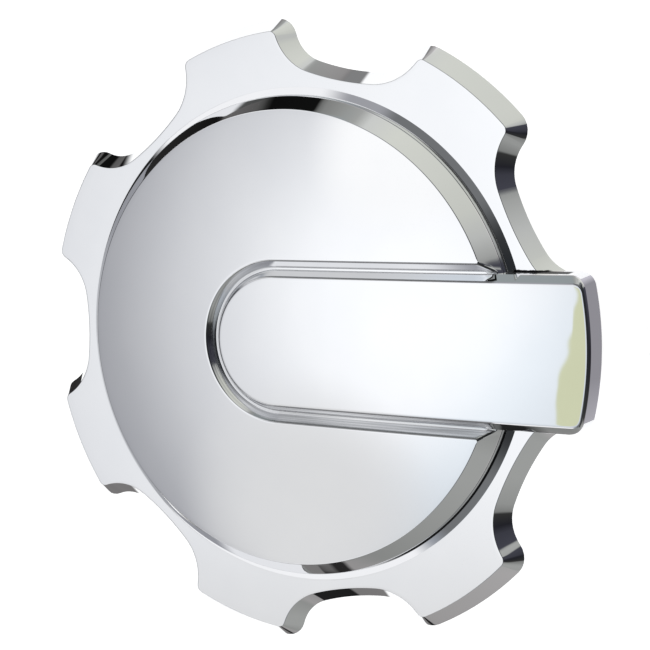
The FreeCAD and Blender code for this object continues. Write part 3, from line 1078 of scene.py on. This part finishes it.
# %% World: right side of the ceiling
WARM = (0.58, 0.60, 0.41)
DARK_NEAR, DARK_FAR, DARK_MIDDLE = (0.15, 0.155, 0.16), (0.03, 0.032, 0.034), (0.02, 0.022, 0.025)
ragged = product(noise(way, 9.0), 0.06)
edge = math_node("ADD", math_node("SUBTRACT", way_x, product(way_y, 0.1)), ragged)
warm = product(between(edge, -0.046, -0.040), between(way_z, 0.93, 0.95), below(way_x, -0.03, -0.02),
               window(way_y, -0.29, 0.0, 0.01))
overhead = mixed(warm, overhead, WARM)
dark = mixed(between(way_x, 0.30, 0.42), DARK_NEAR, DARK_FAR)
dark = mixed(between(math_node("ABSOLUTE", way_y), 0.20, 0.30), DARK_MIDDLE, dark)
slant = product(math_node("MAXIMUM", way_y, 0.0), 0.25)
overhead = mixed(between(math_node("ADD", way_x, slant), 0.04, 0.12), overhead, dark)
print("world nodes", len(nodes))

# %% [markdown]
# ## The room: round the horizon
# Walls and skirts mirror the room near the horizon. It is uneven there, pale on one side and nearly black on the
# other, so each wall changes from white to black along its length. A grey for each compass bearing is enough for
# most of it. A few cards stand out of that: a black one and two grey ones, each in a narrow sector.

# %% World: horizon
GREYS = [(-180, .10), (-118, .14), (-108.5, .13), (-107.3, .015), (-104, .015), (-103, .21), (-55, .31), (-45, .31),
         (-27, .19), (-24.5, .03), (-7, .015), (4, .04), (23.5, .05), (25.5, .31), (34, .45), (44, .53), (60, .57),
         (80, .60), (90, .55), (94, .33), (106.5, .19), (108, .005), (123, .004), (126, .07), (136, .09),
         (138, .004), (172, .02)]
DEEP = [(-120, .60), (-70, .48), (-32, .25), (32, .25), (65, .48), (100, .65)]
turn = math_node("ADD", math_node("ARCTAN2", way_y, way_x), math.pi)
turn = math_node("DIVIDE", turn, 2 * math.pi)
down = product(way_z, -1.0)


def bearing(degrees):
    return (degrees + 180) / 360


def round_room(marks, tint):
    return ramp(turn, [(bearing(a), tint(a, value)) for a, value in marks])


def sector(start, end, soft):
    return window(turn, bearing(start), bearing(end), soft / 360)


def horizon_tint(azimuth, grey):
    """The dark side of the room is a little blue, and the pale side a little warm."""
    blue = 1.3 if abs(azimuth) < 24 else 0.93 if 40 < azimuth < 90 else 0.98
    return (grey, grey * 1.015, grey * blue)


horizon = round_room(GREYS, horizon_tint)
deep = round_room(DEEP, lambda a, g: (g * 1.01, g * 0.98, g * 1.07))
horizon = tinted_by(between(down, 0.10, 0.18), horizon, (1.28, 1.22, 1.25))
horizon = mixed(product(between(down, 0.2, 0.28), sector(-111.2, -102.4, 0.3)), horizon, (0.012, 0.012, 0.012))
horizon = mixed(product(between(down, 0.13, 0.17), sector(106.5, 114, 0.6)), horizon, (0.2, 0.2, 0.2))
horizon = mixed(product(between(way_z, 0.04, 0.10), sector(97, 120, 3)), horizon, (0.27, 0.295, 0.30))
low_room = mixed(between(down, 0.55, 0.75), horizon, deep)
print("horizon marks", len(GREYS), "marks below it", len(DEEP))

# %% [markdown]
# ## The room: white cards
# A large white card stands low on the left and brightens the skirts there. Two long pale ones lean behind and in
# front, for the bead at the drum's foot. Rays straight from the camera skip the room and see plain white, so that
# the cap stands on a white picture from every side.

# %% World: white cards and background
CARD = [(-180, .65), (-130, .50), (-120, .56), (-105, 1.0), (98, 1.0), (112, .10), (130, .26), (158, .47), (175, .62)]
CARD_WHITE, STRIP_WHITE, SEEN_WHITE = (0.95, 0.95, 0.95), (0.84, 0.84, 0.85), (0.8, 0.8, 0.8)
card_top = round_room(CARD, lambda a, height: (height, height, height))
low_card = between(math_node("SUBTRACT", down, card_top), -0.03, 0.03)
room = mixed(between(way_z, 0.44, 0.56), mixed(low_card, low_room, CARD_WHITE), overhead)
left = product(way_x, -1.0)


def strip(slope, low, sideways, near, far):
    """A long pale card that leans along X: bright above a slanting line, on one side of the room."""
    height = math_node("SUBTRACT", way_z, product(way_x, slope))
    return product(between(height, low, low + 0.05), between(sideways, near, far))


card_behind = product(strip(0.69, 0.74, way_y, 0.36, 0.44), between(left, 0.25, 0.38))
card_in_front = product(strip(0.53, 0.47, product(way_y, -1.0), 0.52, 0.60), between(left, -0.06, 0.04))
room = mixed(math_node("MAXIMUM", card_behind, card_in_front), room, STRIP_WHITE)
room = mixed(nodes.new("ShaderNodeLightPath").outputs["Is Camera Ray"], room, SEEN_WHITE)
links.new(room, background.inputs["Color"])
bpy.context.scene.view_settings.view_transform = "Standard"
print("world nodes", len(nodes), "view transform", bpy.context.scene.view_settings.view_transform)
